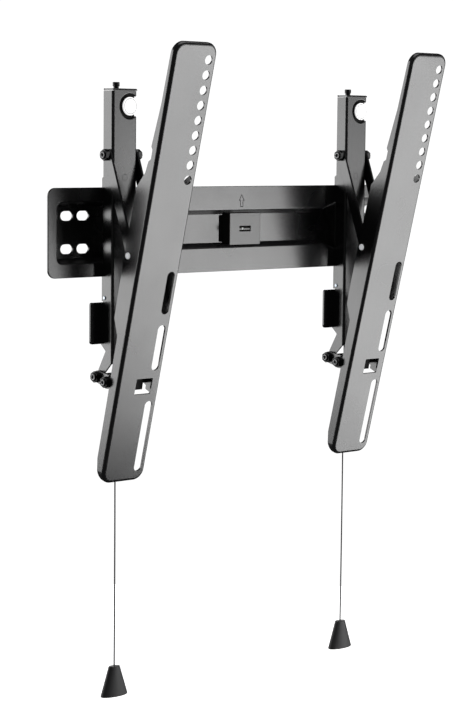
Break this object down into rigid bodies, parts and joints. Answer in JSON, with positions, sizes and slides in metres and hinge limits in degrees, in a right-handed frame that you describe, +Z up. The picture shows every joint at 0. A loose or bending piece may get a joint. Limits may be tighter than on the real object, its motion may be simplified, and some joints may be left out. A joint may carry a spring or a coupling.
{
  "type": "tv wall mount",
  "caption": "Low-profile tilting television bracket: a pressed wall plate with a bubble level, and hooked upright brackets with slotted rails, linkage tilt, spring catches and release cords.",
  "frame": {"origin": "middle of the wall plate's back face, on the wall", "axes": "+X along the wall plate to the right as seen from the room, +Y into the wall, +Z up; the television hangs on the -Y side"},
  "size_m": [0.505, 0.1303, 0.6638],
  "materials": {
    "black_steel": "semi-gloss powder coat",
    "black_zinc": "black passivated, satin",
    "zinc": "zinc plated",
    "black_plastic": "fine matt grain",
    "white_plastic": "satin",
    "vial": "clear, filled with pale green fluid",
    "cord": "braided, thin"
  },
  "bodies": {
    "wall": {"wall_plate": "black_steel", "level_housing": "black_plastic", "level_vial": "vial"},
    "left_slide": {"left_hook_slide": "black_steel"},
    "left_channel": {"left_channel": "black_steel", "left_guide_rivet": "black_steel", "left_bumper_seat": "black_plastic", "left_bumper_disc": "white_plastic", "left_upper_bolt": "black_zinc", "left_upper_nuts": "black_zinc", "left_lower_bolt": "black_zinc", "left_lower_nuts": "black_zinc", "left_latch_rivets": "zinc", "left_latch_spring": "zinc"},
    "left_screw": {"left_height_screw": "black_zinc"},
    "left_arms": {"left_upper_arms": "black_steel"},
    "left_rail": {"left_rail": "black_steel", "left_pivot_rivets": "zinc", "left_pivot_spacer": "black_zinc", "left_foot_bolt": "black_zinc", "left_foot_nuts": "black_zinc", "left_foot_spacers": "black_zinc"},
    "left_links": {"left_lower_links": "black_steel"},
    "left_catch": {"left_latch": "black_steel", "left_cord": "cord", "left_cord_crimp": "zinc", "left_pull": "black_plastic"},
    "right_slide": {"right_hook_slide": "black_steel"},
    "right_channel": {"right_channel": "black_steel", "right_guide_rivet": "black_steel", "right_bumper_seat": "black_plastic", "right_bumper_disc": "white_plastic", "right_upper_bolt": "black_zinc", "right_upper_nuts": "black_zinc", "right_lower_bolt": "black_zinc", "right_lower_nuts": "black_zinc", "right_latch_rivets": "zinc", "right_latch_spring": "zinc"},
    "right_screw": {"right_height_screw": "black_zinc"},
    "right_arms": {"right_upper_arms": "black_steel"},
    "right_rail": {"right_rail": "black_steel", "right_pivot_rivets": "zinc", "right_pivot_spacer": "black_zinc", "right_foot_bolt": "black_zinc", "right_foot_nuts": "black_zinc", "right_foot_spacers": "black_zinc"},
    "right_links": {"right_lower_links": "black_steel"},
    "right_catch": {"right_latch": "black_steel", "right_cord": "cord", "right_cord_crimp": "zinc", "right_pull": "black_plastic"}
  },
  "joints": [
    {"name": "left_sideways", "type": "slide", "parent": "wall", "child": "left_slide", "axis": [1, 0, 0], "range_m": [-0.0375, 0.0625]},
    {"name": "left_height", "type": "slide", "parent": "left_slide", "child": "left_channel", "axis": [0, 0, 1], "range_m": [-0.004, 0.004]},
    {"name": "left_screw_turn", "type": "hinge", "parent": "left_channel", "child": "left_screw", "pos_m": [-0.1689, -0.0127, 0.1], "axis": [0, 0, 1], "range_deg": [-2058, 2058]},
    {"name": "left_tilt", "type": "hinge", "parent": "left_channel", "child": "left_arms", "pos_m": [-0.1625, -0.0214, 0.0772], "axis": [1, 0, 0], "range_deg": [0, 22.2]},
    {"name": "left_rail_pivot", "type": "hinge", "parent": "left_arms", "child": "left_rail", "pos_m": [-0.1625, -0.05848, -0.02146], "axis": [1, 0, 0], "range_deg": [-36.76, 0]},
    {"name": "left_link_pivot", "type": "hinge", "parent": "left_channel", "child": "left_links", "pos_m": [-0.1625, -0.0068, -0.146], "axis": [1, 0, 0], "range_deg": [0, 45.32]},
    {"name": "left_release", "type": "slide", "parent": "left_channel", "child": "left_catch", "axis": [0, 0, -1], "range_m": [0, 0.008], "stiffness_N_per_m": 500, "springref_m": -0.01, "deforming": ["left_latch_spring"]},
    {"name": "right_sideways", "type": "slide", "parent": "wall", "child": "right_slide", "axis": [1, 0, 0], "range_m": [-0.0625, 0.0375]},
    {"name": "right_height", "type": "slide", "parent": "right_slide", "child": "right_channel", "axis": [0, 0, 1], "range_m": [-0.004, 0.004]},
    {"name": "right_screw_turn", "type": "hinge", "parent": "right_channel", "child": "right_screw", "pos_m": [0.1561, -0.0127, 0.1], "axis": [0, 0, 1], "range_deg": [-2058, 2058]},
    {"name": "right_tilt", "type": "hinge", "parent": "right_channel", "child": "right_arms", "pos_m": [0.1625, -0.0214, 0.0772], "axis": [1, 0, 0], "range_deg": [0, 22.2]},
    {"name": "right_rail_pivot", "type": "hinge", "parent": "right_arms", "child": "right_rail", "pos_m": [0.1625, -0.05848, -0.02146], "axis": [1, 0, 0], "range_deg": [-36.76, 0]},
    {"name": "right_link_pivot", "type": "hinge", "parent": "right_channel", "child": "right_links", "pos_m": [0.1625, -0.0068, -0.146], "axis": [1, 0, 0], "range_deg": [0, 45.32]},
    {"name": "right_release", "type": "slide", "parent": "right_channel", "child": "right_catch", "axis": [0, 0, -1], "range_m": [0, 0.008], "stiffness_N_per_m": 500, "springref_m": -0.01, "deforming": ["right_latch_spring"]}
  ],
  "couplings": [
    {"joint": "left_screw_turn", "follows": "left_height", "rad_per_m": 8976},
    {"joint": "left_rail_pivot", "follows": "left_tilt", "ratio": -1.6536},
    {"joint": "left_link_pivot", "follows": "left_tilt", "ratio": 2.0392},
    {"joint": "right_screw_turn", "follows": "right_height", "rad_per_m": 8976},
    {"joint": "right_rail_pivot", "follows": "right_tilt", "ratio": -1.6536},
    {"joint": "right_link_pivot", "follows": "right_tilt", "ratio": 2.0392}
  ]
}
